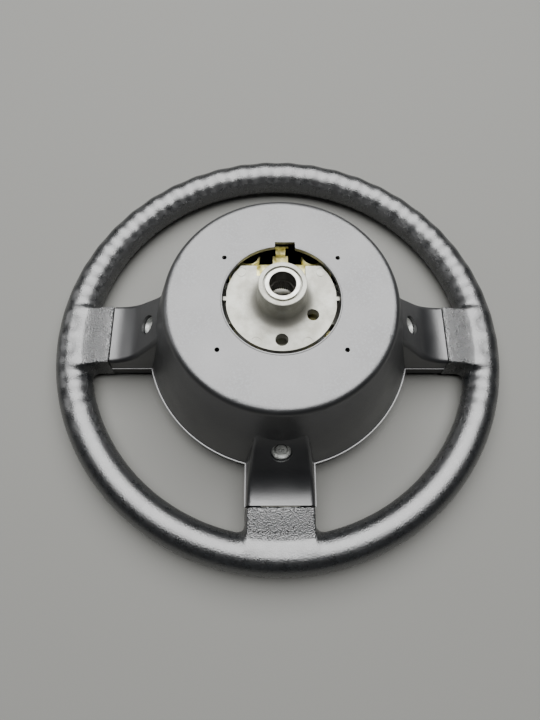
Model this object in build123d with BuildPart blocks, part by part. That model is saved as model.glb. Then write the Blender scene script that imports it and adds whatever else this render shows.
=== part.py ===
from build123d import *
from math import atan2, cos, radians, sin, tan
import os

# Three-spoke steering wheel with a deep hub, lying on the front of its rim.
# The origin is the centre of the column bore at the boss's end face; +Z points
# along the column, away from the driver, and +Y is the top of the wheel.
# Sizes are millimetres. A height is measured up from the plane that touches the
# front of the rim, and a drop is measured down from the boss's end face.

# --- driving dimensions: rim and overall shape --------------------------------
rim_diameter = 380.0        # over the grip
rim_section = 28.8          # thickness of the grip
wheel_depth = 117.5         # boss end face to the front of the rim
core_tube = 12.0            # diameter of the steel ring inside the grip
spoke_angles = (0, 180, 270)
spoke_width = 54.4          # across the covers at the parting line
seam_radius = 140.0         # where the covers end and the grip's roots begin
seam_gap = 0.9
parting_height = 19.5       # line where the rear and front covers meet
seam_height = 31.5          # back of a spoke where the cover meets the grip
trim_height = 8.0           # front face of the front cover

# --- rear cover ---------------------------------------------------------------
cover_drop = 22.0           # boss end face to the flat back of the cover
cover_top_radius = 86.0
cover_base_radius = 110.0
cover_wall = 2.8
cover_edge_round = 6.0
roof_slope = 46.0           # degrees, the slope of a spoke's back near the bowl
knee_radius = 124.5         # where that slope turns flat
knee_round = 34.0
side_draft = 10.0           # degrees
spoke_edge_round = 3.5
shoulder_radius = 97.5      # where a spoke's back steepens to run into the bowl
shoulder_slope = 60.0       # degrees
shoulder_round = 60.0
opening_radius = 43.2
opening_lip = 1.3           # width of the raised lip round the opening
opening_lip_height = 0.4
opening_lip_round = 0.3
notch_width = 15.2
notch_offset = 3.0          # the notch sits a little to one side
notch_reach = 47.6
bead_width = 0.5            # thin bead along the parting line
bead_height = 1.2
face_hole_radius = 1.5
face_hole_edge = 0.3
face_hole_x_top = 42.4
face_hole_x_bottom = 45.6
face_hole_y_top = 34.0
face_hole_y_bottom = -40.2

# --- screws through the rear cover, one in each spoke -------------------------
side_pocket_radius = 107.0  # distance of a pocket's mouth from the axis, in the side spokes
low_pocket_radius = 104.5   # and in the bottom spoke
pocket_steps = ((8.0, 4.0), (7.0, 6.0), (5.8, 9.0))     # radius and depth of each step
pocket_wall = 2.2
screw_radius = 2.5
screw_head_radius = 4.2
screw_head_height = 3.4
screw_grip = 12.0           # thread in the arm
screw_clearance = 0.5
washer_radius = 5.4         # cup washer under each head
washer_thickness = 1.0
cup_radius = 7.2            # rim of the cup
cup_depth = 2.6             # the cup's rim below the mouth
cup_shoulder = 6.4
recess_depth = 1.6          # cross recess in a screw's head
recess_width = 1.1
screw_post_radius = 7.0

# --- die-cast hub -------------------------------------------------------------
boss_radius = 17.0
boss_foot_radius = 18.4
flare_radius = 7.5
boss_edge = 0.4
plate_drop = 26.2           # boss end face to the back of the hub plate
plate_thickness = 8.0
plate_radius = 40.9
plate_rise = 1.5            # the plate's outline is centred a little above the bore
plate_half_width = 40.4     # flats at the left and right
plate_top = 29.5            # chord across the top of the plate
window_half_width = 18.4    # the plate is cut away above the boss
window_floor = 21.0
nib_width = 3.0
nib_reach = 42.8
nib_y = 2.0
groove_width = 1.7          # round the end of the bush
groove_depth = 3.0
witness_radius = 4.0
witness_width = 0.6
witness_depth = 0.3
witness_points = ((29.8, 24.0), (-29.8, 24.0), (18.4, -32.8), (-18.4, -32.8))
drive_hole_radius = 4.8
drive_hole_y = -30.8
contact_hole_radius = 4.5
contact_hole_x = 22.9
contact_hole_y = -11.2
post_radius = 4.8
post_points = ((27, 17), (-27, 17), (22, -26), (-22, -26))
arm_width = 30.0
arm_thickness = 9.0
arm_foot_inset = 2.0        # from the plate's flats to the top of an arm's slope
arm_bend = 97.0             # where an arm turns flat
arm_height = 18.0           # middle of the flat part of an arm
saddle_radius = 9.5         # casting around the steel ring

# --- splined bush -------------------------------------------------------------
bush_radius = 12.2
bush_length = 23.0
bore_radius = 9.3           # plain pilot at the mouth
pilot_length = 12.0
serration_count = 36
serration_root = 9.1
serration_tip = 8.5
nut_recess_radius = 15.5

# --- horn bracket and contact bracket -----------------------------------------
sheet = 1.6                 # horn bracket
post_height = 8.0           # hub plate to horn bracket
bracket_half = 40.0
bracket_corner = 8.0
access_radius = 20.0        # way in for the nut's socket
pin_relief = 20.0           # depth of the opening in the arm under the drive pin hole
pin_room = 3.0              # round the pin that comes through the drive pin hole
arm_room = 2.0              # beside the arms
bracket_screw_radius = 2.0
bracket_screw_head = 4.2
bracket_screw_head_height = 2.4
contact_sheet = 1.2
insulator_thickness = 3.0
insulator_wall = 7.0
contact_half = 27.5
contact_inner_y = 22.5
contact_outer_y = 37.0
contact_corner = 3.0
insulator_width = 7.6
rivet_radius = 1.5
rivet_grip = 5.0            # length in the hub plate
rivet_head_radius = 3.0
rivet_head_height = 1.0
rivet_x = 22.5
rivet_y = 25.5
curl_x = 24.5
curl_y = 42.4
curl_radius = 7.6
curl_reach = 7.5            # how far a lip climbs round its scoop
curl_height = 6.0
tongue_foot = 41.0
tongue_width = 11.7
tongue_neck = 7.4
tongue_rise = 4.2
tongue_run = 3.4

# --- horn pad and its sprung suspension ---------------------------------------
press_travel = 2.5
contact_gap = 0.3           # left between the contacts at full travel
stop_gap = 0.3              # under the heads of the guide bolts at rest
pad_top = 62.0
pad_bottom = -64.0
pad_top_half = 72.0
pad_bottom_half = 46.0
pad_corner = 20.0
pad_gap = 1.2
pad_height = 3.6            # front of the pad
pad_thickness = 8.4
pad_edge_round = 4.0
carrier_thickness = 3.0
carrier_inset = 5.0
tower_half = 40.0
tower_height = 63.7
tower_draft = 3.0           # degrees
tower_wall = 2.4
tower_round = 6.0
dome_radius = 17.5          # raised middle of the carrier, under the column nut
dome_top = 40.0             # below the boss's end face
guide_x = 33.0
guide_y = 28.0
guide_radius = 2.5
guide_head_radius = 4.6
guide_head_height = 2.2
guide_thread_radius = 2.0
guide_thread_length = 8.0
guide_boss_radius = 5.0
guide_fit = 0.08
bush_flange_radius = 5.6
bush_flange = 1.2
bush_neck_radius = 3.7
bush_neck_below = 1.5
spring_radius = 5.2
spring_wire = 0.8
contact_radius = 2.6
contact_x = 26.0
contact_y = 7.5
fixed_contact_height = 1.2
blade_width = 8.0           # spring blade under each moving contact
blade_thickness = 1.0
blade_screw_y = 17.0
blade_overhang = 4.0
small_screw_radius = 1.4
small_head_radius = 2.8
small_head_height = 1.6
small_screw_length = 7.0
pad_screw_points = ((56, 44), (-56, 44), (40, -50), (-40, -50))

# --- front cover --------------------------------------------------------------
trim_wall = 2.6
trim_edge_round = 2.0
trim_screw_radius = 2.0
trim_screw_head = 3.8
trim_screw_head_height = 2.6
trim_screw_at = 124.0
trim_pillar_radius = 5.5
trim_screw_bite = 4.0

# --- roots of the grip ----------------------------------------------------------
root_crest = 152.0          # where the back of a root starts to fall to the rim

# --- places worked out from the driving dimensions ----------------------------
front_z = -wheel_depth
parting_z = front_z + parting_height
seam_z = front_z + seam_height
trim_z = front_z + trim_height
grip_radius = rim_section / 2
rim_radius = rim_diameter / 2 - grip_radius
core_z = front_z + grip_radius
face_z = -cover_drop
plate_z = -plate_drop
under_z = plate_z - plate_thickness
spoke_half = spoke_width / 2
cover_end = seam_radius - seam_gap / 2
root_start = seam_radius + seam_gap / 2
slope = radians(roof_slope)
arm_top_z = front_z + arm_height + arm_thickness / 2
arm_low_z = front_z + arm_height - arm_thickness / 2
pocket_radius = {0: side_pocket_radius, 180: side_pocket_radius, 270: low_pocket_radius}
pocket_depth = pocket_steps[-1][1]
head_depth = pocket_depth - washer_thickness
arm_foot = plate_half_width - arm_foot_inset
arm_slope = atan2(under_z - arm_top_z, arm_bend - arm_foot)
bracket_top_z = under_z - post_height
bracket_low_z = bracket_top_z - sheet
tower_z = front_z + tower_height
pad_z = front_z + pad_height
carrier_z = pad_z + pad_thickness
guide_points = [(x, y) for x in (-guide_x, guide_x) for y in (-guide_y, guide_y)]
face_hole_points = [(x, y) for x_far, y in ((face_hole_x_top, face_hole_y_top),
                                            (face_hole_x_bottom, face_hole_y_bottom))
                    for x in (-x_far, x_far)]
contact_points = [(-contact_x, contact_y), (contact_x, contact_y)]
blade_screw_points = [(-contact_x, blade_screw_y), (contact_x, blade_screw_y)]
all_parts = []
os.makedirs("parts", exist_ok=True)


def finish_piece(piece, name):
    """Label a finished piece and write it."""
    piece.part.label = name
    all_parts.append(name)
    export_step(piece.part, f"parts/{name}.step")


def roof_z(radius):
    """Height of the sloping back of a spoke at a radius."""
    return seam_z + (knee_radius - radius) * tan(slope)


def arm_low_radius(z):
    """Radius where the underside of an arm's slope is at z."""
    return arm_foot - arm_thickness / sin(arm_slope) + (under_z - z) / tan(arm_slope)


def arm_reach(angle):
    """Distance along a cover screw from its pocket's mouth to the arm."""
    far = pocket_radius[angle]
    gap = (far - arm_foot) * sin(arm_slope) + (roof_z(far) - under_z) * cos(arm_slope)
    return gap / cos(slope - arm_slope)


def spoke_plane(angle):
    """Upright plane along a spoke: x runs outwards, y runs up."""
    across = (sin(radians(angle)), -cos(radians(angle)), 0)
    return Plane(origin=(0, 0, 0), x_dir=(cos(radians(angle)), sin(radians(angle)), 0), z_dir=across)


def screw_plane(angle, depth):
    """Plane square to a cover screw, depth below the roof of its spoke."""
    out = (cos(radians(angle)), sin(radians(angle)))
    normal = (sin(slope) * out[0], sin(slope) * out[1], cos(slope))
    far = pocket_radius[angle]
    mouth = (far * out[0], far * out[1], roof_z(far))
    return Plane(origin=mouth, x_dir=(-out[1], out[0], 0), z_dir=normal).offset(-depth)


def covers_outline(grow, end):
    """Plan of both covers at the parting line, grown by grow, with spokes to radius end."""
    with BuildSketch() as outline:
        Circle(cover_base_radius + grow)
        for angle in spoke_angles:
            with PolarLocations(end / 2, 1, start_angle=angle):
                Rectangle(end, 2 * (spoke_half + grow))
    return outline.sketch


def pad_outline(grow):
    """Outline of the horn pad, grown by grow."""
    with BuildSketch() as outline:
        with BuildLine():
            Polyline((-pad_top_half, pad_top), (pad_top_half, pad_top),
                     (pad_bottom_half, pad_bottom), (-pad_bottom_half, pad_bottom), close=True)
        make_face()
        fillet(outline.vertices(), pad_corner)
        offset(amount=grow)
    return outline.sketch


def spoke_channel(angle, inset, end):
    """The space under one spoke's roof, taken in by inset from the cover's outside."""
    knee = (knee_radius - inset * tan(slope / 2), seam_z - inset)
    steep = radians(shoulder_slope)
    lean = (slope + steep) / 2
    shift = inset / cos((steep - slope) / 2)
    shoulder = (shoulder_radius - shift * sin(lean), roof_z(shoulder_radius) - shift * cos(lean))
    inner = cover_top_radius - cover_edge_round - cover_wall
    start = (inner, shoulder[1] + (shoulder[0] - inner) * tan(steep))
    half = spoke_half - inset
    with BuildPart() as channel:
        with BuildSketch(spoke_plane(angle)):
            with BuildLine():
                FilletPolyline(start, shoulder, knee, (end, knee[1]),
                               radius=[shoulder_round + inset, knee_round + inset])
                Polyline((end, knee[1]), (end, parting_z), (inner, parting_z), start)
            make_face()
        extrude(amount=spoke_half, both=True)
        side_top = face_z - parting_z
        with BuildSketch(Plane.XY.offset(parting_z)):
            with PolarLocations(end / 2, 1, start_angle=angle):
                Rectangle(2 * end, 2 * half)
        extrude(amount=side_top, taper=side_draft, mode=Mode.INTERSECT)
        ridge = channel.faces().filter_by(
            lambda f: f.normal_at().Z > 0.3).edges().filter_by(
            lambda e: abs(e.tangent_at(0.5).dot(spoke_plane(angle).z_dir)) < 0.5)
        fillet(ridge, max(spoke_edge_round - inset, 0.3))
    return channel.part


def bowl(inset):
    """The bowl of the rear cover, taken in by inset from its outside."""
    lean = atan2(cover_base_radius - cover_top_radius, face_z - parting_z)
    side = inset / cos(lean)
    top = face_z - inset
    with BuildPart() as body:
        with BuildSketch(Plane.XZ):
            with BuildLine():
                Polyline((0, parting_z), (0, top), (cover_top_radius - side + inset * tan(lean), top),
                         (cover_base_radius - side, parting_z), close=True)
            make_face()
        revolve()
        fillet(body.edges().sort_by(Axis.Z)[-1], cover_edge_round - inset)
    return body.part


# --- rear cover ---------------------------------------------------------------
cover_space = bowl(cover_wall)
for angle in spoke_angles:
    cover_space += spoke_channel(angle, cover_wall, seam_radius + cover_wall)

with BuildPart() as rear_cover:
    add(bowl(0))
    for angle in spoke_angles:
        add(spoke_channel(angle, 0, cover_end))
    with BuildSketch(Plane.XY.offset(parting_z)):
        add(covers_outline(bead_width, cover_end))
    extrude(amount=bead_height)
    add(cover_space, mode=Mode.SUBTRACT)
    for angle in spoke_angles:
        # a stepped pocket stands inside the shell around each screw
        for radius, depth in pocket_steps:
            with BuildSketch(screw_plane(angle, 1)):
                Circle(radius + pocket_wall)
            extrude(amount=1 - depth - (cover_wall if depth == pocket_depth else 0))
    for angle in spoke_angles:
        for radius, depth in pocket_steps:
            with BuildSketch(screw_plane(angle, -10)):
                Circle(radius)
            extrude(amount=-10 - depth, mode=Mode.SUBTRACT)
        with BuildSketch(screw_plane(angle, 0)):
            Circle(screw_radius + screw_clearance)
        extrude(amount=-pocket_depth - 2 * cover_wall, mode=Mode.SUBTRACT)
    with BuildSketch(Plane.XY.offset(face_z - cover_wall / 2)):
        Circle(opening_radius + opening_lip)
    extrude(amount=cover_wall / 2 + opening_lip_height)
    with BuildSketch(Plane.XY.offset(face_z + opening_lip_height)):
        Circle(opening_radius)
        with Locations((notch_offset, notch_reach / 2)):
            Rectangle(notch_width, notch_reach)
        with Locations(*face_hole_points):
            Circle(face_hole_radius)
    extrude(amount=-2 * cover_wall, mode=Mode.SUBTRACT)
    lip_edges = rear_cover.edges().filter_by_position(
        Axis.Z, face_z + opening_lip_height - 0.01, face_z + opening_lip_height + 0.01)
    fillet(lip_edges, opening_lip_round)
    hole_edges = rear_cover.edges().filter_by(GeomType.CIRCLE).filter_by_position(
        Axis.Z, face_z - 0.01, face_z + 0.01).filter_by(lambda e: e.radius < 2 * face_hole_radius)
    chamfer(hole_edges, face_hole_edge)
finish_piece(rear_cover, "rear_cover")

# --- steel ring in the rim ----------------------------------------------------
with BuildPart() as rim_core:
    with BuildSketch(Plane.XZ):
        with Locations((rim_radius, core_z)):
            Circle(core_tube / 2)
    revolve()
finish_piece(rim_core, "rim_core")

# --- die-cast hub: boss, plate and three arms cast round the steel ring --------
with BuildPart() as hub_casting:
    with BuildSketch(Plane.XY.offset(plate_z)) as plate_sketch:
        with Locations((0, plate_rise)):
            Circle(plate_radius)
        Rectangle(2 * plate_half_width, 4 * plate_radius, mode=Mode.INTERSECT)
        with Locations((0, plate_top - plate_radius)):
            Rectangle(2 * plate_half_width, 2 * plate_radius, mode=Mode.INTERSECT)
    extrude(amount=-plate_thickness)
    with BuildSketch(Plane.XZ):
        with BuildLine():
            foot = (boss_foot_radius, plate_z)
            Polyline((0, under_z), (0, 0), (boss_radius, 0), foot,
                     (boss_foot_radius + flare_radius, plate_z),
                     (boss_foot_radius + flare_radius, plate_z - 1), (0, plate_z - 1))
            Line((0, plate_z - 1), (0, under_z))
        make_face()
    revolve()
    crease = hub_casting.edges().filter_by(GeomType.CIRCLE).filter_by(
        lambda e: abs(e.radius - boss_foot_radius) < 0.01)
    fillet(crease, flare_radius)
    chamfer(hub_casting.edges().sort_by(Axis.Z)[-1], boss_edge)
    with BuildSketch(Plane.XY.offset(under_z)):
        with Locations((0, window_floor + plate_radius / 2)):
            Rectangle(2 * window_half_width, plate_radius)
    extrude(amount=plate_thickness + flare_radius, mode=Mode.SUBTRACT)
    with BuildSketch(Plane.XY.offset(plate_z)):
        with Locations((0, nib_y)):
            Rectangle(2 * nib_reach, nib_width)
    extrude(amount=-plate_thickness / 2)
    for angle in spoke_angles:
        with BuildSketch(spoke_plane(angle)):
            with BuildLine():
                Polyline((arm_low_radius(under_z), under_z), (arm_foot, under_z),
                         (arm_bend, arm_top_z), (rim_radius, arm_top_z), (rim_radius, arm_low_z),
                         (arm_low_radius(arm_low_z), arm_low_z), close=True)
            make_face()
        extrude(amount=arm_width / 2, both=True)
        # saddle round the steel ring
        with BuildSketch(spoke_plane(angle)):
            with Locations((rim_radius, core_z)):
                Circle(saddle_radius)
        extrude(amount=arm_width / 2, both=True)
        # post under the cover screw
        with BuildSketch(screw_plane(angle, arm_reach(angle) + 1)):
            Circle(screw_post_radius)
        extrude(amount=arm_reach(angle) + 1 - pocket_depth - cover_wall)
    # posts for the horn bracket
    with BuildSketch(Plane.XY.offset(bracket_top_z)):
        with Locations(*post_points):
            Circle(post_radius)
    extrude(amount=post_height + 1)
    # bush seat, groove round its end and recess for the nut
    with BuildSketch():
        Circle(bush_radius)
    extrude(amount=2 * under_z, mode=Mode.SUBTRACT)
    with BuildSketch():
        Circle(bush_radius + groove_width)
    extrude(amount=-groove_depth, mode=Mode.SUBTRACT)
    with BuildSketch(Plane.XY.offset(-bush_length)):
        Circle(nut_recess_radius)
    extrude(amount=2 * under_z, mode=Mode.SUBTRACT)
    # drive pin hole, contact hole and ejector marks
    with BuildSketch(Plane.XY.offset(plate_z + flare_radius)):
        with Locations((0, drive_hole_y)):
            Circle(drive_hole_radius)
        with Locations((contact_hole_x, contact_hole_y)):
            Circle(contact_hole_radius)
    extrude(amount=2 * under_z, mode=Mode.SUBTRACT)
    # the casting is open under the drive pin hole
    with BuildSketch(Plane.XY.offset(under_z)):
        with Locations((0, drive_hole_y)):
            Rectangle(2 * (drive_hole_radius + pin_room), 2 * (drive_hole_radius + pin_room))
    extrude(amount=-pin_relief, mode=Mode.SUBTRACT)
    with BuildSketch(Plane.XY.offset(plate_z)):
        with Locations(*witness_points):
            Circle(witness_radius)
            Circle(witness_radius - witness_width, mode=Mode.SUBTRACT)
    extrude(amount=-witness_depth, mode=Mode.SUBTRACT)
    # threads for the cover screws, the trim screws, the bracket screws and the rivets
    for angle in spoke_angles:
        with BuildSketch(screw_plane(angle, 0)):
            Circle(screw_radius)
        extrude(amount=-pocket_depth - cover_wall - screw_grip, mode=Mode.SUBTRACT)
        with BuildSketch(Plane.XY.offset(arm_top_z)):
            with PolarLocations(trim_screw_at, 1, start_angle=angle):
                Circle(trim_screw_radius)
        extrude(amount=-arm_thickness, mode=Mode.SUBTRACT)
    with BuildSketch(Plane.XY.offset(bracket_top_z)):
        with Locations(*post_points):
            Circle(bracket_screw_radius)
    extrude(amount=post_height, mode=Mode.SUBTRACT)
    with BuildSketch(Plane.XY.offset(under_z)):
        with Locations((rivet_x, rivet_y), (-rivet_x, rivet_y)):
            Circle(rivet_radius)
    extrude(amount=rivet_grip, mode=Mode.SUBTRACT)
    add(rim_core.part, mode=Mode.SUBTRACT)
finish_piece(hub_casting, "hub_casting")

# --- splined bush --------------------------------------------------------------
with BuildPart() as column_bush:
    with BuildSketch():
        Circle(bush_radius)
        Circle(bore_radius, mode=Mode.SUBTRACT)
    extrude(amount=-bush_length)
    with BuildSketch(Plane.XY.offset(-pilot_length)):
        Circle((bore_radius + bush_radius) / 2)
        Circle(serration_tip, mode=Mode.SUBTRACT)
        tooth_half = serration_tip * sin(radians(150 / serration_count))
        with PolarLocations(serration_tip, serration_count):
            Polygon((-tooth_half, -tooth_half), (serration_root - serration_tip, 0),
                    (-tooth_half, tooth_half), align=None, mode=Mode.SUBTRACT)
    extrude(amount=pilot_length - bush_length)
finish_piece(column_bush, "column_bush")

# --- rim grip: moulded ring with a root over each arm ----------------------------
with BuildPart() as rim_grip:
    with BuildSketch(Plane.XZ):
        with Locations((rim_radius, core_z)):
            Circle(grip_radius)
    revolve()
    for angle in spoke_angles:
        with BuildSketch(spoke_plane(angle)):
            with BuildLine():
                Polyline((root_start, trim_z), (root_start, seam_z), (root_crest, seam_z),
                         (rim_radius, core_z + grip_radius / 2), (rim_radius, core_z),
                         (rim_radius - grip_radius / 2, trim_z), close=True)
            make_face()
        extrude(amount=spoke_half, both=True)
    add(rim_core.part, mode=Mode.SUBTRACT)
    add(hub_casting.part, mode=Mode.SUBTRACT)
finish_piece(rim_grip, "rim_grip")

# --- front cover: a shallow frame round the horn pad ------------------------------
with BuildPart() as front_trim:
    with BuildSketch(Plane.XY.offset(trim_z)):
        add(covers_outline(0, cover_end))
    extrude(amount=parting_z - trim_z)
    fillet(front_trim.faces().sort_by(Axis.Z)[0].outer_wire().edges(), trim_edge_round)
    with BuildSketch(Plane.XY.offset(trim_z + trim_wall)):
        add(covers_outline(-trim_wall, seam_radius + trim_wall))
    extrude(amount=parting_z - trim_z, mode=Mode.SUBTRACT)
    with BuildSketch(Plane.XY.offset(trim_z)):
        add(pad_outline(pad_gap))
    extrude(amount=2 * trim_wall, mode=Mode.SUBTRACT)
    with BuildSketch(Plane.XY.offset(trim_z)):
        for angle in spoke_angles:
            with PolarLocations(trim_screw_at, 1, start_angle=angle):
                Circle(trim_pillar_radius)
    extrude(amount=arm_low_z - trim_z)
    with BuildSketch(Plane.XY.offset(arm_low_z)):
        for angle in spoke_angles:
            with PolarLocations(trim_screw_at, 1, start_angle=angle):
                Circle(trim_screw_radius)
    extrude(amount=-trim_screw_bite, mode=Mode.SUBTRACT)
finish_piece(front_trim, "front_trim")

# --- screws -----------------------------------------------------------------------
with BuildPart() as cover_screws:
    for angle in spoke_angles:
        with BuildSketch(screw_plane(angle, head_depth)):
            Circle(screw_radius)
        extrude(amount=head_depth - pocket_depth - cover_wall - screw_grip)
        with BuildSketch(screw_plane(angle, head_depth)):
            Circle(screw_head_radius)
        extrude(amount=screw_head_height)
        with BuildSketch(screw_plane(angle, head_depth - screw_head_height)):
            Rectangle(screw_head_radius, recess_width)
            Rectangle(recess_width, screw_head_radius)
        extrude(amount=-recess_depth, mode=Mode.SUBTRACT)
finish_piece(cover_screws, "cover_screws")

with BuildPart() as cup_washer:
    with BuildSketch(Plane.XZ):
        with BuildLine():
            Polyline((screw_radius + screw_clearance / 2, -pocket_depth), (washer_radius, -pocket_depth),
                     (washer_radius, -cup_shoulder), (cup_radius, -cup_depth),
                     (cup_radius - washer_thickness, -cup_depth),
                     (washer_radius - washer_thickness, -cup_shoulder),
                     (washer_radius - washer_thickness, -head_depth),
                     (screw_radius + screw_clearance / 2, -head_depth), close=True)
        make_face()
    revolve()

with BuildPart() as cover_washers:
    for angle in spoke_angles:
        add(screw_plane(angle, 0).location * cup_washer.part)
finish_piece(cover_washers, "cover_washers")


def upright_screws(points, seat, shank, head, height, length, head_side):
    """Plain-headed screws at points; the head stands head_side (+1 or -1) of the seat."""
    with BuildPart() as screws:
        with BuildSketch(Plane.XY.offset(seat)):
            with Locations(*points):
                Circle(shank)
        extrude(amount=-head_side * length)
        with BuildSketch(Plane.XY.offset(seat)):
            with Locations(*points):
                Circle(head)
        extrude(amount=head_side * height)
        with BuildSketch(Plane.XY.offset(seat + head_side * height)):
            with Locations(*points):
                Rectangle(head, shank / 2)
                Rectangle(shank / 2, head)
        extrude(amount=-head_side * height / 2, mode=Mode.SUBTRACT)
    return screws


trim_points = [(trim_screw_at * cos(radians(a)), trim_screw_at * sin(radians(a))) for a in spoke_angles]
trim_screws = upright_screws(trim_points, arm_top_z, trim_screw_radius, trim_screw_head,
                             trim_screw_head_height, arm_thickness + trim_screw_bite, 1)
finish_piece(trim_screws, "trim_screws")

# --- horn bracket under the hub plate --------------------------------------------
with BuildPart() as horn_bracket:
    with BuildSketch(Plane.XY.offset(bracket_low_z)) as bracket_sketch:
        Rectangle(2 * bracket_half, 2 * bracket_half)
        fillet(bracket_sketch.vertices(), bracket_corner)
        Circle(access_radius, mode=Mode.SUBTRACT)
        arm_face = arm_low_radius(bracket_top_z) - arm_room
        for angle in spoke_angles:
            with PolarLocations(arm_face + bracket_half, 1, start_angle=angle):
                Rectangle(2 * bracket_half, arm_width + 2 * arm_room, mode=Mode.SUBTRACT)
        with Locations(*post_points):
            Circle(bracket_screw_radius, mode=Mode.SUBTRACT)
        with Locations(*guide_points):
            Circle(bush_neck_radius, mode=Mode.SUBTRACT)
        with Locations(*contact_points):
            Circle(contact_radius / 2, mode=Mode.SUBTRACT)
        with Locations((0, drive_hole_y)):
            Rectangle(2 * (drive_hole_radius + pin_room), bracket_half, mode=Mode.SUBTRACT)
    extrude(amount=sheet)
finish_piece(horn_bracket, "horn_bracket")

bracket_screws = upright_screws(post_points, bracket_low_z, bracket_screw_radius, bracket_screw_head,
                                bracket_screw_head_height, sheet + post_height, -1)
finish_piece(bracket_screws, "bracket_screws")

with BuildPart() as guide_bushes:
    with BuildSketch(Plane.XY.offset(bracket_top_z)):
        with Locations(*guide_points):
            Circle(bush_flange_radius)
    extrude(amount=bush_flange)
    with BuildSketch(Plane.XY.offset(bracket_top_z)):
        with Locations(*guide_points):
            Circle(bush_neck_radius)
    extrude(amount=-sheet - bush_neck_below)
    with BuildSketch(Plane.XY.offset(bracket_top_z + bush_flange)):
        with Locations(*guide_points):
            Circle(guide_radius + guide_fit)
    extrude(amount=-bush_flange - sheet - bush_neck_below, mode=Mode.SUBTRACT)
finish_piece(guide_bushes, "guide_bushes")

with BuildPart() as horn_springs:
    with BuildSketch(Plane.XY.offset(tower_z)):
        with Locations(*guide_points):
            Circle(spring_radius)
            Circle(spring_radius - spring_wire, mode=Mode.SUBTRACT)
    extrude(amount=bracket_low_z - tower_z)
finish_piece(horn_springs, "horn_springs")

with BuildPart() as fixed_contacts:
    with BuildSketch(Plane.XY.offset(bracket_low_z)):
        with Locations(*contact_points):
            Circle(contact_radius)
    extrude(amount=-fixed_contact_height)
    with BuildSketch(Plane.XY.offset(bracket_low_z)):
        with Locations(*contact_points):
            Circle(contact_radius / 2)
    extrude(amount=sheet)
    with BuildSketch(Plane.XY.offset(bracket_top_z)):
        with Locations(*contact_points):
            Circle(contact_radius)
    extrude(amount=rivet_head_height)
finish_piece(fixed_contacts, "fixed_contacts")

# --- contact bracket seen in the opening above the boss ----------------------------
contact_z = under_z - insulator_thickness
with BuildPart() as contact_bracket:
    with BuildSketch(Plane.XY.offset(contact_z)) as base:
        with Locations((0, (contact_inner_y + contact_outer_y) / 2)):
            Rectangle(2 * contact_half, contact_outer_y - contact_inner_y)
        fillet(base.vertices(), contact_corner)
        with Locations((curl_x, curl_y), (-curl_x, curl_y)):
            Circle(curl_radius, mode=Mode.SUBTRACT)
        with Locations((0, (contact_inner_y + tongue_foot) / 2)):
            Rectangle(tongue_width, tongue_foot - contact_inner_y)
        with Locations((rivet_x, rivet_y), (-rivet_x, rivet_y)):
            Circle(rivet_radius, mode=Mode.SUBTRACT)
    extrude(amount=-contact_sheet)
    # a curled lip round each scoop
    with BuildSketch(Plane.XY.offset(contact_z - contact_sheet)):
        with Locations((curl_x, curl_y), (-curl_x, curl_y)):
            Circle(curl_radius + contact_sheet)
            Circle(curl_radius, mode=Mode.SUBTRACT)
        with Locations((0, curl_y - curl_radius - contact_sheet + curl_reach / 2)):
            Rectangle(4 * curl_x, curl_reach, mode=Mode.INTERSECT)
    extrude(amount=curl_height)
    # the tongue climbs in two steps into the notch of the rear cover
    for step, width in enumerate((tongue_width, tongue_neck, tongue_width)):
        tread_y = tongue_foot + step * tongue_run
        tread_z = contact_z + step * tongue_rise
        with BuildSketch(Plane.XY.offset(tread_z)):
            with Locations((0, tread_y - contact_sheet / 2)):
                Rectangle(width, tongue_run + contact_sheet, align=(Align.CENTER, Align.MIN))
        extrude(amount=-contact_sheet)
        if step:
            with BuildSketch(Plane.XY.offset(tread_z)):
                with Locations((0, tread_y)):
                    Rectangle(tongue_neck, contact_sheet)
            extrude(amount=-tongue_rise - contact_sheet)
finish_piece(contact_bracket, "contact_bracket")

with BuildPart() as contact_insulators:
    with BuildSketch(Plane.XY.offset(under_z)):
        with Locations((rivet_x, rivet_y), (-rivet_x, rivet_y)):
            Rectangle(insulator_width, insulator_wall)
            Circle(rivet_radius, mode=Mode.SUBTRACT)
    extrude(amount=-insulator_thickness)
finish_piece(contact_insulators, "contact_insulators")

with BuildPart() as contact_rivets:
    with BuildSketch(Plane.XY.offset(contact_z - contact_sheet)):
        with Locations((rivet_x, rivet_y), (-rivet_x, rivet_y)):
            Circle(rivet_radius)
    extrude(amount=contact_sheet + insulator_thickness + rivet_grip)
    with BuildSketch(Plane.XY.offset(contact_z - contact_sheet)):
        with Locations((rivet_x, rivet_y), (-rivet_x, rivet_y)):
            Circle(rivet_head_radius)
    extrude(amount=-rivet_head_height)
finish_piece(contact_rivets, "contact_rivets")

# --- horn pad and its carrier, which move together ----------------------------------
with BuildPart() as horn_pad:
    with BuildSketch(Plane.XY.offset(pad_z)):
        add(pad_outline(0))
    extrude(amount=pad_thickness)
    fillet(horn_pad.faces().sort_by(Axis.Z)[0].edges(), pad_edge_round)
    with BuildSketch(Plane.XY.offset(carrier_z)):
        with Locations(*pad_screw_points):
            Circle(small_screw_radius)
    extrude(amount=carrier_thickness - small_screw_length, mode=Mode.SUBTRACT)
finish_piece(horn_pad, "horn_pad")

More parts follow.
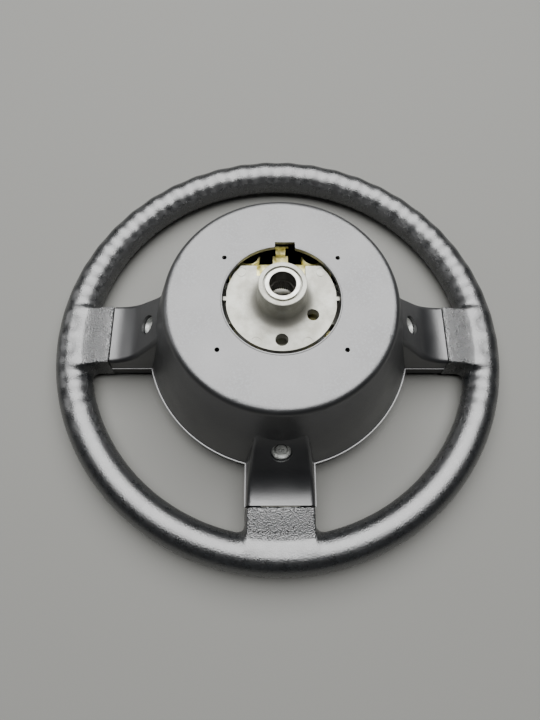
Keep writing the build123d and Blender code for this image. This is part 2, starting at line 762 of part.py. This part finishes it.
with BuildPart() as pad_carrier:
    with BuildSketch(Plane.XY.offset(carrier_z)):
        add(pad_outline(-carrier_inset))
    extrude(amount=carrier_thickness)
    with BuildSketch(Plane.XY.offset(tower_z)) as tower_top:
        Rectangle(2 * tower_half, 2 * tower_half)
        fillet(tower_top.vertices(), tower_round)
    extrude(amount=carrier_z - tower_z, taper=-tower_draft)
    with BuildSketch(Plane.XY.offset(tower_z - tower_wall)) as tower_inside:
        Rectangle(2 * (tower_half - tower_wall), 2 * (tower_half - tower_wall))
        fillet(tower_inside.vertices(), tower_round - tower_wall)
    extrude(amount=carrier_z - tower_z, taper=-tower_draft, mode=Mode.SUBTRACT)
    with BuildSketch(Plane.XY.offset(tower_z - tower_wall)):
        Circle(dome_radius)
    extrude(amount=tower_wall - tower_z - dome_top)
    with BuildSketch(Plane.XY.offset(tower_z - tower_wall)):
        Circle(dome_radius - tower_wall)
    extrude(amount=-tower_z - dome_top, mode=Mode.SUBTRACT)
    with BuildSketch(Plane.XY.offset(tower_z)):
        with Locations(*guide_points):
            Circle(guide_boss_radius)
        with Locations(*blade_screw_points):
            Circle(guide_boss_radius)
    extrude(amount=-guide_thread_length)
    with BuildSketch(Plane.XY.offset(tower_z)):
        with Locations(*guide_points):
            Circle(guide_thread_radius)
    extrude(amount=-guide_thread_length, mode=Mode.SUBTRACT)
    with BuildSketch(Plane.XY.offset(tower_z)):
        with Locations(*blade_screw_points):
            Circle(small_screw_radius)
    extrude(amount=blade_thickness - small_screw_length, mode=Mode.SUBTRACT)
    with BuildSketch(Plane.XY.offset(carrier_z)):
        with Locations(*pad_screw_points):
            Circle(small_screw_radius)
    extrude(amount=carrier_thickness, mode=Mode.SUBTRACT)
finish_piece(pad_carrier, "pad_carrier")

pad_screws = upright_screws(pad_screw_points, carrier_z + carrier_thickness, small_screw_radius,
                            small_head_radius, small_head_height, small_screw_length, 1)
finish_piece(pad_screws, "pad_screws")

with BuildPart() as guide_bolts:
    with BuildSketch(Plane.XY.offset(tower_z)):
        with Locations(*guide_points):
            Circle(guide_radius)
    extrude(amount=bracket_top_z + bush_flange + stop_gap - tower_z)
    with BuildSketch(Plane.XY.offset(tower_z)):
        with Locations(*guide_points):
            Circle(guide_thread_radius)
    extrude(amount=-guide_thread_length)
    with BuildSketch(Plane.XY.offset(bracket_top_z + bush_flange + stop_gap)):
        with Locations(*guide_points):
            Circle(guide_head_radius)
        with Locations(*guide_points):
            RegularPolygon(guide_radius, 6, mode=Mode.SUBTRACT)
    extrude(amount=guide_head_height)
    with BuildSketch(Plane.XY.offset(bracket_top_z + bush_flange + stop_gap)):
        with Locations(*guide_points):
            Circle(guide_radius)
    extrude(amount=guide_head_height / 2)
finish_piece(guide_bolts, "guide_bolts")

with BuildPart() as contact_blades:
    with BuildSketch(Plane.XY.offset(tower_z)):
        with Locations(*[(x, (contact_y + blade_screw_y) / 2) for x, _ in contact_points]):
            Rectangle(blade_width, blade_screw_y - contact_y + 2 * blade_overhang)
        with Locations(*blade_screw_points):
            Circle(small_screw_radius, mode=Mode.SUBTRACT)
    extrude(amount=blade_thickness)
finish_piece(contact_blades, "contact_blades")

with BuildPart() as moving_contacts:
    with BuildSketch(Plane.XY.offset(tower_z + blade_thickness)):
        with Locations(*contact_points):
            Circle(contact_radius)
    extrude(amount=bracket_low_z - fixed_contact_height - contact_gap - press_travel
            - tower_z - blade_thickness)
finish_piece(moving_contacts, "moving_contacts")

blade_screws = upright_screws(blade_screw_points, tower_z + blade_thickness,
                              small_screw_radius, small_head_radius, small_head_height,
                              small_screw_length, 1)
finish_piece(blade_screws, "blade_screws")
print("pieces:", ", ".join(all_parts))
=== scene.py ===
import bpy
import math
import mathutils
import numpy as np
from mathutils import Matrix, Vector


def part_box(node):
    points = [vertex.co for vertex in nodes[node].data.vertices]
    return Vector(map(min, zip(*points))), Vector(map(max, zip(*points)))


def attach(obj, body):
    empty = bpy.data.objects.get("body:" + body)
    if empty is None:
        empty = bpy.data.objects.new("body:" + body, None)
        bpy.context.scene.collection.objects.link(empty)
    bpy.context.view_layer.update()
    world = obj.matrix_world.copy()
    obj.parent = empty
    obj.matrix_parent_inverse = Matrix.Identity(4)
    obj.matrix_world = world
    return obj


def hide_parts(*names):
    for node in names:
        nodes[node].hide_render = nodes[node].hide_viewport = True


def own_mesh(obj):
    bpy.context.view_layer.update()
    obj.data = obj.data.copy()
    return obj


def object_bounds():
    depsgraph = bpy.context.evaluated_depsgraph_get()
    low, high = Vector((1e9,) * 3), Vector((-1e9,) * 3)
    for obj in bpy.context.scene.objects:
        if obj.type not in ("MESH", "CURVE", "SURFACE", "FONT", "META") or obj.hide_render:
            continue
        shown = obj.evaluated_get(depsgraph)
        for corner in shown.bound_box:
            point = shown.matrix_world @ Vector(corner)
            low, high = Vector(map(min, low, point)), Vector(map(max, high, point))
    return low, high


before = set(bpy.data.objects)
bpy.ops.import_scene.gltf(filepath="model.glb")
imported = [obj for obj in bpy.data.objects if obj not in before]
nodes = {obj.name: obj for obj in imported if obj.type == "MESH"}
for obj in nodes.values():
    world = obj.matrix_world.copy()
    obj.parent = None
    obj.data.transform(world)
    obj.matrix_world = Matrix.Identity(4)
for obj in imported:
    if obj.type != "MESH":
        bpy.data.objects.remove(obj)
cadBox = [list(corner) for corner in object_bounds()]
mm = 0.001


# ---- small helpers ----
def onlySelect(*objects):
    bpy.ops.object.select_all(action="DESELECT")
    for obj in objects:
        obj.select_set(True)
        bpy.context.view_layer.objects.active = obj


def hexColour(code):
    channels = [int(code[i:i + 2], 16) / 255 for i in (1, 3, 5)]
    return [c / 12.92 if c < 0.04045 else ((c + 0.055) / 1.055) ** 2.4 for c in channels] + [1.0]


def newMaterial(name):
    material = bpy.data.materials.new(name)
    material.use_nodes = True
    return material


def addNode(material, kind, settings=(), links=()):
    # settings: plain names set the node, names with a capital and numbers set its sockets
    if kind == "shader":
        node = material.node_tree.nodes["Principled BSDF"]
    else:
        node = material.node_tree.nodes.new("ShaderNode" + kind)
    settings = dict(settings)
    for key in sorted(settings, key=lambda k: isinstance(k, int) or k[0].isupper()):
        value = settings[key]
        if isinstance(key, int) or key[0].isupper():
            node.inputs[key].default_value = value
        else:
            setattr(node, key, value)
    for socket, (source, output) in dict(links).items():
        material.node_tree.links.new(source.outputs[output], node.inputs[socket])
    return node


def setRamp(node, stops):
    # stops: position and grey or colour for each
    ramp = node.color_ramp
    while len(ramp.elements) < len(stops):
        ramp.elements.new(0.5)
    for element, (place, shade) in zip(ramp.elements, stops):
        element.position = place
        element.color = hexColour(shade) if isinstance(shade, str) else [shade, shade, shade, 1]


def dress(names, material):
    for name in names:
        obj = nodes[name]
        obj.data.materials.clear()
        obj.data.materials.append(material)


# ---- materials ----
# moulded ABS with a fine spark-eroded texture: black body and broad grey sheen; pale flecks on the flat
# back are painted glints, and a lighter line along the bead round the parting line is a painted highlight;
# speckle and fleck are drawn coarser than the real grain, so that they show
coverAbs = dict(name="sparkTexturedAbs", colour="#0b0c0e", paintedHighlight="#26272a", paintedGlints="#303336",
                speckle=1.1 * mm, fleck=1.6 * mm, cloud=30 * mm, roughLow=0.30, roughHigh=0.44,
                bump=0.09 * mm, beadHeight=1.2 * mm, specular=1.0, ior=1.57)


def makeAbs(spec):
    m = newMaterial(spec["name"])
    place = addNode(m, "TexCoord")
    grain = addNode(m, "TexNoise", {"Scale": 1 / spec["speckle"], "Detail": 3.0, "Roughness": 0.6},
                    {"Vector": (place, "Object")})
    cloud = addNode(m, "TexNoise", {"Scale": 1 / spec["cloud"], "Detail": 4.0, "Roughness": 0.55},
                    {"Vector": (place, "Object")})
    mixed = addNode(m, "Math", {"operation": "MULTIPLY_ADD", 1: 0.5}, {0: (grain, "Fac"), 2: (cloud, "Fac")})
    rough = addNode(m, "MapRange", {"From Min": 0.45, "From Max": 1.05, "To Min": spec["roughLow"],
                                    "To Max": spec["roughHigh"]}, {"Value": (mixed, 0)})
    bump = addNode(m, "Bump", {"Strength": 0.6, "Distance": spec["bump"]}, {"Height": (grain, "Fac")})
    parts = addNode(m, "SeparateXYZ", {}, {0: (place, "Object")})
    # painted highlight: the bead round the parting line is coloured lighter, standing in for the thin
    # highlight along it
    bead = addNode(m, "MapRange", {"From Min": spec["beadTop"], "From Max": spec["beadTop"] - 0.2 * mm},
                   {"Value": (parts, "Z")})
    tone = addNode(m, "ValToRGB", {}, {"Fac": (bead, "Result")})
    setRamp(tone, [(0.0, spec["colour"]), (1.0, spec["paintedHighlight"])])
    # painted glints: pale flecks on the high grains of the flat back stand in for glints of light off the
    # spark texture
    onFace = addNode(m, "MapRange",
                     {"From Min": spec["face"] - 1.4 * mm, "From Max": spec["face"] - 0.5 * mm},
                     {"Value": (parts, "Z")})
    flecks = addNode(m, "TexNoise", {"Scale": 1 / spec["fleck"], "Detail": 2.0},
                     {"Vector": (place, "Object")})
    proud = addNode(m, "MapRange", {"From Min": 0.5, "From Max": 0.64}, {"Value": (flecks, "Fac")})
    patchy = addNode(m, "MapRange", {"From Min": 0.42, "From Max": 0.58, "To Min": 0.25},
                     {"Value": (cloud, "Fac")})
    spread = addNode(m, "Math", {"operation": "MULTIPLY"}, {0: (proud, "Result"), 1: (patchy, "Result")})
    glintMask = addNode(m, "Math", {"operation": "MULTIPLY"}, {0: (onFace, "Result"), 1: (spread, 0)})
    body = addNode(m, "Mix", {"data_type": "RGBA", 7: hexColour(spec["paintedGlints"])},
                   {0: (glintMask, 0), 6: (tone, "Color")})
    addNode(m, "shader", {"IOR": spec["ior"], "Specular IOR Level": spec["specular"]},
            {"Base Color": (body, 2), "Roughness": (rough, "Result"), "Normal": (bump, "Normal")})
    return m


coverAbs["beadTop"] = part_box("rear_cover")[0].z + coverAbs["beadHeight"]
coverAbs["face"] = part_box("rear_cover")[1].z
dress(["rear_cover"], makeAbs(coverAbs))
trimAbs = dict(coverAbs, name="matteAbs", roughLow=0.5, roughHigh=0.6, specular=0.5, ior=1.54,
               paintedHighlight=coverAbs["colour"])
dress(["front_trim"], makeAbs(trimAbs))

# die-cast aluminium, as cast: light grey, dull, mottled, darker round the boss's foot with grime and painted
# shade of the corner there
castAluminium = dict(light="#a5a59d", dark="#8d8c83", footGrimeAndShade="#2f2b24", grit=0.8 * mm, patch=10 * mm,
                     foot=17 * mm, footGrimeAndShadeReach=11 * mm)


def makeCast(spec):
    m = newMaterial("dieCastAluminium")
    place = addNode(m, "TexCoord")
    grit = addNode(m, "TexNoise", {"Scale": 1 / spec["grit"], "Detail": 4.0, "Roughness": 0.65},
                   {"Vector": (place, "Object")})
    patch = addNode(m, "TexNoise", {"Scale": 1 / spec["patch"], "Detail": 5.0, "Roughness": 0.6},
                    {"Vector": (place, "Object")})
    tone = addNode(m, "ValToRGB", {}, {"Fac": (patch, "Fac")})
    setRamp(tone, [(0.35, spec["dark"]), (0.62, spec["light"])])
    # grime and painted shade: darker round the foot of the boss, deepest low in the corner, fading out across
    # the plate
    flat = addNode(m, "VectorMath", {"operation": "MULTIPLY", 1: (1, 1, 0)}, {0: (place, "Object")})
    distance = addNode(m, "VectorMath", {"operation": "LENGTH"}, {0: (flat, 0)})
    near = addNode(m, "MapRange", {"From Min": spec["foot"] + spec["footGrimeAndShadeReach"], "From Max": spec["foot"]},
                   {"Value": (distance, "Value")})
    parts = addNode(m, "SeparateXYZ", {}, {0: (place, "Object")})
    below = addNode(m, "MapRange", {"From Min": -8 * mm, "From Max": -26 * mm, "To Max": 1.3},
                    {"Value": (parts, "Z")})
    both = addNode(m, "Math", {"operation": "MULTIPLY"}, {0: (near, "Result"), 1: (below, "Result")})
    grimeAndShadeMask = addNode(m, "Math", {"operation": "MULTIPLY", "use_clamp": True},
                    {0: (both, 0), 1: (patch, "Fac")})
    mixed = addNode(m, "Mix", {"data_type": "RGBA", 7: hexColour(spec["footGrimeAndShade"])},
                    {0: (grimeAndShadeMask, 0), 6: (tone, "Color")})
    rough = addNode(m, "MapRange", {"From Min": 0.3, "From Max": 0.7, "To Min": 0.5, "To Max": 0.68},
                    {"Value": (grit, "Fac")})
    bump = addNode(m, "Bump", {"Strength": 0.5, "Distance": 0.08 * mm}, {"Height": (grit, "Fac")})
    addNode(m, "shader", {"Metallic": 0.6}, {"Base Color": (mixed, 2), "Roughness": (rough, "Result"),
                                             "Normal": (bump, "Normal")})
    return m


dress(["hub_casting"], makeCast(castAluminium))


def makeMetal(name, light, dark, roughness, patch=6 * mm, bore=None):
    m = newMaterial(name)
    place = addNode(m, "TexCoord")
    patches = addNode(m, "TexNoise", {"Scale": 1 / patch, "Detail": 5.0}, {"Vector": (place, "Object")})
    tone = addNode(m, "ValToRGB", {}, {"Fac": (patches, "Fac")})
    setRamp(tone, [(0.38, dark), (0.62, light)])
    rough = addNode(m, "MapRange", {"From Min": 0.3, "From Max": 0.7, "To Min": roughness,
                                    "To Max": roughness + 0.12}, {"Value": (patches, "Fac")})
    colour = (tone, "Color")
    if bore:
        # painted shade: inside the bore the steel is coloured darker, standing in for the shade down the bore
        flat = addNode(m, "VectorMath", {"operation": "MULTIPLY", 1: (1, 1, 0)}, {0: (place, "Object")})
        distance = addNode(m, "VectorMath", {"operation": "LENGTH"}, {0: (flat, 0)})
        inside = addNode(m, "MapRange", {"From Min": bore["radius"] + 0.5 * mm,
                                         "From Max": bore["radius"] + 0.2 * mm},
                         {"Value": (distance, "Value")})
        shadedBore = addNode(m, "Mix", {"data_type": "RGBA", 7: hexColour(bore["colour"])},
                         {0: (inside, "Result"), 6: (tone, "Color")})
        colour = (shadedBore, 2)
    addNode(m, "shader", {"Metallic": 1.0}, {"Base Color": colour, "Roughness": (rough, "Result")})
    return m


# painted shade for the inside of the column bore
boreShade = dict(radius=9.3 * mm, colour="#4b4945")
dress(["column_bush"], makeMetal("turnedSteel", "#c2c2bc", "#9a9992", 0.4, bore=boreShade))
dress(["horn_bracket", "contact_bracket"], makeMetal("yellowZincSteel", "#e2dca6", "#948a4c", 0.34))
dress(["cover_screws", "cover_washers"], makeMetal("dulledZincSteel", "#c4c5c2", "#8c8e8c", 0.5))
dress(["trim_screws", "bracket_screws", "contact_rivets", "pad_screws",
       "guide_bolts", "blade_screws"], makeMetal("brightZincSteel", "#d2d4d4", "#9c9fa2", 0.26))
dress(["rim_core"], makeMetal("drawnSteelTube", "#8d8e8f", "#6a6866", 0.4))
dress(["fixed_contacts", "contact_blades", "moving_contacts"], makeMetal("brass", "#d9b865", "#b08b3c", 0.25))


def makePlainPlastic(name, colour, roughness, grit):
    m = newMaterial(name)
    place = addNode(m, "TexCoord")
    noise = addNode(m, "TexNoise", {"Scale": 1 / grit, "Detail": 3.0}, {"Vector": (place, "Object")})
    rough = addNode(m, "MapRange", {"From Min": 0.3, "From Max": 0.7, "To Min": roughness,
                                    "To Max": roughness + 0.1}, {"Value": (noise, "Fac")})
    bump = addNode(m, "Bump", {"Strength": 0.3, "Distance": 0.05 * mm}, {"Height": (noise, "Fac")})
    addNode(m, "shader", {"Base Color": hexColour(colour), "IOR": 1.53},
            {"Roughness": (rough, "Result"), "Normal": (bump, "Normal")})
    return m


dress(["pad_carrier", "guide_bushes"], makePlainPlastic("naturalNylon", "#f1efe6", 0.4, 2 * mm))
dress(["contact_insulators"], makePlainPlastic("blackPhenolic", "#1a1512", 0.45, 1 * mm))
print("materials on the CAD nodes")

# ---- rim grip ----
# One foam moulding: a ring whose back is scalloped for the fingers, with a grained root over each arm.
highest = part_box("rim_grip")[1]
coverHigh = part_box("rear_cover")[1]
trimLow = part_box("front_trim")[0]
coreLow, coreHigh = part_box("rim_core")
grip = dict(waveCount=50, waveDepth=1.8 * mm, waveFrom=-30, waveTo=210, fade=14, blend=8 * mm,
            voxel=1.3 * mm, edge=1.2 * mm, seam=0.9 * mm, rootHalfLow=28.0 * mm, rootHalfHigh=25.2 * mm,
            rootFlat=3 * mm, rootFall=6 * mm, rootEnd=7 * mm, rootCurve=1.2,
            waveLean=72, waveSpread=0.9)
grip["radius"] = (highest.x - coreHigh.x) + (coreHigh.z - coreLow.z) / 2
grip["ring"] = highest.x - grip["radius"]
grip["middle"] = (coreHigh.z + coreLow.z) / 2
grip["root"] = coverHigh.x + grip["seam"]
spokeAngles = (0, 180, 270)


def smoothMin(a, b, reach):
    h = np.clip(0.5 + 0.5 * (b - a) / reach, 0, 1)
    return b + (a - b) * h - reach * h * (1 - h)


def ringShape(p, spec):
    # distance to the ring, thinner where a finger's hollow lies on its back and inner side
    around = np.degrees(np.arctan2(p[:, 1], p[:, 0]))
    around = np.where(around < -90, around + 360, around)
    out = np.hypot(p[:, 0], p[:, 1]) - spec["ring"]
    up = p[:, 2] - spec["middle"]
    side = np.arctan2(up, -out)
    held = np.clip((around - spec["waveFrom"]) / spec["fade"], 0, 1) * np.clip(
        (spec["waveTo"] - around) / spec["fade"], 0, 1)
    back = np.clip(np.cos(side - math.radians(spec["waveLean"])), 0, 1) ** spec["waveSpread"]
    wave = 0.5 - 0.5 * np.cos(np.radians(around - 90) * spec["waveCount"])
    return np.hypot(out, up) - spec["radius"] + spec["waveDepth"] * held * back * (1 - wave)


def rootShape(p, spec, angle):
    # rounded block from the seam into the ring, its back falling in a soft curve
    c, s = math.cos(math.radians(angle)), math.sin(math.radians(angle))
    along = p[:, 0] * c + p[:, 1] * s
    across = np.abs(-p[:, 0] * s + p[:, 1] * c)
    low, high = trimLow.z, highest.z
    t = np.clip((p[:, 2] - low) / (high - low), 0, 1)
    half = spec["rootHalfLow"] + (spec["rootHalfHigh"] - spec["rootHalfLow"]) * t
    end = spec["ring"] - spec["rootEnd"]
    fall = np.clip((along - spec["root"] - spec["rootFlat"]) / (end - spec["root"] - spec["rootFlat"]), 0, 1)
    top = high - spec["rootFall"] * fall ** spec["rootCurve"]
    sides = np.stack([spec["root"] - along, along - end, across - half, p[:, 2] - top, low - p[:, 2]])
    edge = spec["edge"]
    inner = sides + edge
    outside = np.sqrt((np.maximum(inner, 0) ** 2).sum(0))
    return outside + np.minimum(inner.max(0), 0) - edge


def gripShape(p, spec):
    # the ring and the three roots run softly into each other
    shape = ringShape(p, spec)
    for angle in spokeAngles:
        root = rootShape(p, spec, angle)
        shape = smoothMin(shape, root, spec["blend"])
    return shape


def settle(obj, shape, spec, rounds):
    # every point slides along the surface's slope until it lies on the shape
    count = len(obj.data.vertices)
    points = np.empty(count * 3)
    obj.data.vertices.foreach_get("co", points)
    points = points.reshape(-1, 3)
    step = 0.05 * mm
    for _ in range(rounds):
        value = shape(points, spec)
        slope = np.stack([(shape(points + step * axis, spec) - value) / step for axis in np.eye(3)], 1)
        slope /= np.maximum(np.linalg.norm(slope, axis=1, keepdims=True), 0.3)
        points -= np.clip(value, -1.5 * mm, 1.5 * mm)[:, None] * slope
    obj.data.vertices.foreach_set("co", points.ravel())
    obj.data.update()


def makeGrip(spec):
    onlySelect()
    bpy.ops.mesh.primitive_torus_add(major_segments=256, minor_segments=48, major_radius=spec["ring"],
                                     minor_radius=spec["radius"], location=(0, 0, spec["middle"]))
    obj = bpy.context.object
    obj.name = "rimGrip"
    bpy.ops.object.mode_set(mode="EDIT")
    length = spec["ring"] - spec["root"]
    for angle in spokeAngles:
        turn = math.radians(angle)
        middle = spec["root"] + length / 2
        bpy.ops.mesh.primitive_cube_add(
            size=1, location=(middle * math.cos(turn), middle * math.sin(turn), (trimLow.z + highest.z) / 2),
            rotation=(0, 0, turn), scale=(length, 2 * spec["rootHalfLow"], highest.z - trimLow.z))
    bpy.ops.object.mode_set(mode="OBJECT")
    bpy.ops.object.transform_apply(location=True, rotation=True, scale=True)
    remesh = obj.modifiers.new("even", "REMESH")
    remesh.mode = "VOXEL"
    remesh.voxel_size = spec["voxel"]
    bpy.ops.object.modifier_apply(modifier="even")
    settle(obj, gripShape, spec, 6)
    bpy.ops.object.shade_smooth()
    return obj


rimGrip = makeGrip(grip)
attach(rimGrip, "wheel")
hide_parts("rim_grip")
print("rim grip", len(rimGrip.data.vertices))

# self-skinned polyurethane foam: black satin skin, with a leather grain on the roots of the spokes and pale
# flecks painted on as glints;
# fine and fleck are drawn coarser than the real skin, so that they show
foamSkin = dict(colour="#0c0d0e", paintedHighlight="#191b1d", fleck=1.3 * mm, pebble=1.0 * mm, pebbleRise=2.2,
                fine=1.2 * mm, cloud=6 * mm, specular=1.0, ior=1.62,
                grainEnd=grip["ring"] - 11 * mm, grainFade=1 * mm, bump=0.24 * mm,
                roughLow=0.24, roughHigh=0.34)


def makeFoam(spec, name, grainAll=False):
    m = newMaterial(name)
    place = addNode(m, "TexCoord")
    skin = addNode(m, "TexNoise", {"Scale": 1 / spec["cloud"], "Detail": 5.0, "Roughness": 0.6},
                   {"Vector": (place, "Object")})
    fine = addNode(m, "TexNoise", {"Scale": 1 / spec["fine"], "Detail": 3.0}, {"Vector": (place, "Object")})
    pebbles = addNode(m, "TexVoronoi", {"feature": "F1", "Scale": 1 / spec["pebble"]},
                      {"Vector": (place, "Object")})
    rough = addNode(m, "MapRange", {"From Min": 0.3, "From Max": 0.7, "To Min": spec["roughLow"],
                                    "To Max": spec["roughHigh"]}, {"Value": (skin, "Fac")})
    height = addNode(m, "Math", {"operation": "MULTIPLY", 1: spec["pebbleRise"]}, {0: (pebbles, "Distance")})
    if not grainAll:
        # nearer the axis than the ring's inner side the skin is grained
        axis = addNode(m, "VectorMath", {"operation": "MULTIPLY", 1: (1, 1, 0)}, {0: (place, "Object")})
        distance = addNode(m, "VectorMath", {"operation": "LENGTH"}, {0: (axis, 0)})
        grained = addNode(m, "MapRange", {"From Min": spec["grainEnd"] + spec["grainFade"],
                                          "From Max": spec["grainEnd"] - spec["grainFade"]},
                          {"Value": (distance, "Value")})
        height = addNode(m, "Mix", {"data_type": "FLOAT"},
                         {"Factor": (grained, "Result"), 2: (fine, "Fac"), 3: (height, 0)})
    bump = addNode(m, "Bump", {"Strength": 0.9, "Distance": spec["bump"]}, {"Height": (height, 0)})
    # painted glints: pale flecks on the skin stand in for glints of light off its grain
    flecks = addNode(m, "TexNoise", {"Scale": 1 / spec["fleck"], "Detail": 2.0},
                     {"Vector": (place, "Object")})
    tone = addNode(m, "ValToRGB", {}, {"Fac": (flecks, "Fac")})
    setRamp(tone, [(0.5, spec["colour"]), (0.64, spec["paintedHighlight"])])
    addNode(m, "shader", {"IOR": spec["ior"], "Specular IOR Level": spec["specular"]},
            {"Base Color": (tone, "Color"), "Roughness": (rough, "Result"), "Normal": (bump, "Normal")})
    return m


rimGrip.data.materials.append(makeFoam(foamSkin, "polyurethaneSkin"))

# ---- horn pad ----
padLow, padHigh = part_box("horn_pad")
pad = dict(voxel=1.6 * mm, crown=2.6 * mm, crownCurve=2.2, smoothing=4)


def makePad(spec):
    onlySelect()
    source = nodes["horn_pad"]
    obj = source.copy()
    obj.data = source.data.copy()
    obj.parent = None
    for key in list(obj.keys()):
        del obj[key]
    bpy.context.scene.collection.objects.link(obj)
    obj.name = "hornPad"
    onlySelect(obj)
    bpy.ops.object.mode_set(mode="EDIT")
    bpy.ops.mesh.select_all(action="SELECT")
    bpy.ops.mesh.remove_doubles(threshold=0.01 * mm)
    bpy.ops.object.mode_set(mode="OBJECT")
    remesh = obj.modifiers.new("even", "REMESH")
    remesh.mode = "VOXEL"
    remesh.voxel_size = spec["voxel"]
    bpy.ops.object.modifier_apply(modifier="even")
    middle = (padLow + padHigh) / 2
    half = (padHigh - padLow) / 2
    for v in obj.data.vertices:
        reach = min(1, math.hypot((v.co.x - middle.x) / half.x, (v.co.y - middle.y) / half.y))
        depth = (padHigh.z - v.co.z) / (padHigh.z - padLow.z)
        v.co.z += spec["crown"] * reach ** spec["crownCurve"] * depth
    smooth = obj.modifiers.new("soft", "SMOOTH")
    smooth.iterations = spec["smoothing"]
    bpy.ops.object.modifier_apply(modifier="soft")
    bpy.ops.object.shade_smooth()
    return obj


hornPad = makePad(pad)
hornPad.data.materials.clear()
hornPad.data.materials.append(makeFoam(foamSkin, "grainedPadSkin", grainAll=True))
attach(hornPad, "pad")
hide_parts("horn_pad")
print("horn pad")

# ---- horn springs ----
springLow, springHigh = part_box("horn_springs")
spring = dict(radius=5.2 * mm, wire=0.8 * mm, turns=5, steps=24, travel=2.5 * mm)


def makeSprings(spec):
    wire = spec["wire"] / 2
    pitch = (springHigh.z - springLow.z - 2 * wire) / spec["turns"]
    onlySelect()
    bpy.ops.mesh.primitive_circle_add(vertices=10, radius=wire, rotation=(math.pi / 2, 0, 0))
    coil = bpy.context.object
    bpy.ops.object.transform_apply(location=True, rotation=True, scale=True)
    bpy.ops.object.mode_set(mode="EDIT")
    bpy.ops.mesh.select_all(action="SELECT")
    bpy.ops.transform.translate(value=(spec["radius"] - wire, 0, 0))
    bpy.ops.object.mode_set(mode="OBJECT")
    screw = coil.modifiers.new("coil", "SCREW")
    screw.screw_offset = pitch
    screw.iterations = spec["turns"]
    screw.steps = spec["steps"]
    screw.render_steps = spec["steps"]
    bpy.ops.object.modifier_apply(modifier="coil")
    bpy.ops.object.mode_set(mode="EDIT")
    bpy.ops.mesh.select_all(action="SELECT")
    bpy.ops.mesh.remove_doubles(threshold=0.001 * mm)
    bpy.ops.mesh.select_all(action="DESELECT")
    bpy.ops.mesh.select_non_manifold()
    bpy.ops.mesh.edge_face_add()
    bpy.ops.mesh.select_all(action="SELECT")
    bpy.ops.mesh.normals_make_consistent(inside=False)
    bpy.ops.object.mode_set(mode="OBJECT")
    copies = []
    x, y = springHigh.x - spec["radius"], springHigh.y - spec["radius"]
    for dx, dy in ((x, y), (-x, y), (x, -y), (-x, -y)):
        one = coil.copy()
        one.data = coil.data.copy()
        bpy.context.scene.collection.objects.link(one)
        one.location = (dx, dy, springLow.z + wire)
        copies.append(one)
    bpy.data.objects.remove(coil)
    onlySelect(*copies)
    bpy.ops.object.join()
    obj = bpy.context.object
    bpy.ops.object.transform_apply(location=True, rotation=True, scale=True)
    bpy.ops.object.shade_smooth()
    obj.name = "hornSprings"
    return obj


hornSprings = makeSprings(spring)
hornSprings.data.materials.append(makeMetal("springWire", "#a9abad", "#7d7f82", 0.3))
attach(hornSprings, "wheel")
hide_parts("horn_springs")
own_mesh(hornSprings)
print("springs")

# ---- floor, light and camera ----
room = dict(floor="#646461", world="#ffffff", worldPower=0.04)
onlySelect()
bpy.ops.mesh.primitive_plane_add(size=8, location=(0, 0, cadBox[0][2]))
floor = bpy.context.object
floor.name = "floor"
floorMaterial = newMaterial("paleFloor")
addNode(floorMaterial, "shader", {"Base Color": hexColour(room["floor"]), "Roughness": 0.9})
floor.data.materials.append(floorMaterial)

world = bpy.data.worlds.new("studio")
bpy.context.scene.world = world
world.use_nodes = True
world.node_tree.nodes["Background"].inputs["Color"].default_value = hexColour(room["world"])
world.node_tree.nodes["Background"].inputs["Strength"].default_value = room["worldPower"]


def addSoftbox(name, place, aim, size, power):
    bpy.ops.object.light_add(type="AREA", location=place)
    light = bpy.context.object
    light.name = name
    light.data.shape = "RECTANGLE"
    light.data.size, light.data.size_y = size
    light.data.energy = power
    direction = mathutils.Vector(aim) - mathutils.Vector(place)
    light.rotation_euler = direction.to_track_quat("-Z", "Y").to_euler()


softboxes = dict(overhead=dict(place=(0.02, 0.53, 1.40), aim=(0, 0, -0.05), size=(2.1, 2.1), power=124),
                 leftWindow=dict(place=(-1.9, 0.5, 0.9), aim=(0, 0, 0), size=(0.7, 1.2), power=6))
for name, box in softboxes.items():
    addSoftbox(name, **box)

camera = dict(lens=26, eye=(-0.01349, -0.17514, 0.31467), ahead=(0.01347, 0.35359, -0.93530),
              up=(-0.00093, 0.93539, 0.35361))
bpy.ops.object.camera_add(location=camera["eye"])
cam = bpy.context.object
cam.data.lens = camera["lens"]
cam.data.sensor_width = 36
cam.data.clip_start = 0.01
ahead, up = mathutils.Vector(camera["ahead"]), mathutils.Vector(camera["up"])
cam.rotation_euler = mathutils.Matrix((ahead.cross(up), up, -ahead)).transposed().to_euler()
bpy.context.scene.camera = cam
print("studio")
